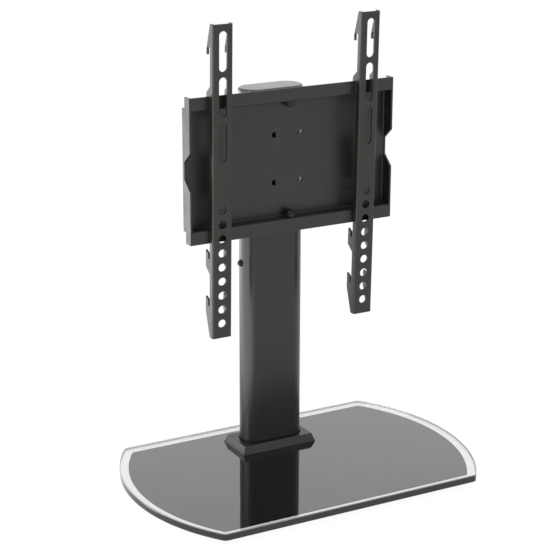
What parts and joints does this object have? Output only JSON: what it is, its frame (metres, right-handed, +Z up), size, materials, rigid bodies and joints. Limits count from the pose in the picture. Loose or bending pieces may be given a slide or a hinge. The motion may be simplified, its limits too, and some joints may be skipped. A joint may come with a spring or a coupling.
{
  "type": "tv stand with mount",
  "caption": "Table-top screen stand: D-ended glass base, upright column, swivelling steel mounting plate and hook-on slotted rails.",
  "frame": {"origin": "on the table under the middle of the glass base", "axes": "+X to the stand's right as seen from the front, -Y towards the viewer in front, +Z up"},
  "size_m": [0.377, 0.24, 0.4906],
  "materials": {
    "glass": "clear, polished edge",
    "print": "black ink seen through glass",
    "rubber": "matte",
    "zinc_steel": "zinc plated",
    "dark_steel": "black oxide",
    "nylon": "natural nylon",
    "cast": "die cast",
    "column": "black satin coat",
    "collar": "satin black",
    "cap": "gloss black",
    "powder_coat": "black powder coat, fine texture"
  },
  "bodies": {
    "stand": {"glass_base": "glass", "underside_print": "print", "rubber_feet": "rubber", "anchor_plate": "zinc_steel", "anchor_screws": "zinc_steel", "glass_bushes": "nylon", "foot_gasket": "rubber", "column_foot": "cast", "foot_screws": "zinc_steel", "column": "column", "collar": "collar", "column_cap": "cap", "side_screw": "dark_steel", "side_nut": "zinc_steel", "bracket_nut_plate": "zinc_steel", "swivel_bracket": "powder_coat", "bracket_pad": "rubber", "bracket_washers": "zinc_steel", "bracket_screws": "dark_steel", "upper_pivot_bolt": "dark_steel", "upper_pivot_washer": "nylon", "upper_pivot_nut": "dark_steel", "lower_pivot_bolt": "dark_steel", "lower_pivot_washer": "nylon", "lower_pivot_nut": "dark_steel"},
    "swivel_plate": {"mounting_plate": "powder_coat"},
    "left_rail": {"left_rail": "powder_coat"},
    "right_rail": {"right_rail": "powder_coat"}
  },
  "joints": [
    {"name": "plate_swivel", "type": "hinge", "parent": "stand", "child": "swivel_plate", "pos_m": [0, 0.02, 0.3435], "axis": [0, 0, 1], "range_deg": [-20, 20]},
    {"name": "left_rail_slide", "type": "slide", "parent": "swivel_plate", "child": "left_rail", "axis": [1, 0, 0], "range_m": [-0.0187, 0.0654]},
    {"name": "right_rail_slide", "type": "slide", "parent": "swivel_plate", "child": "right_rail", "axis": [1, 0, 0], "range_m": [-0.0622, 0.0219]}
  ]
}
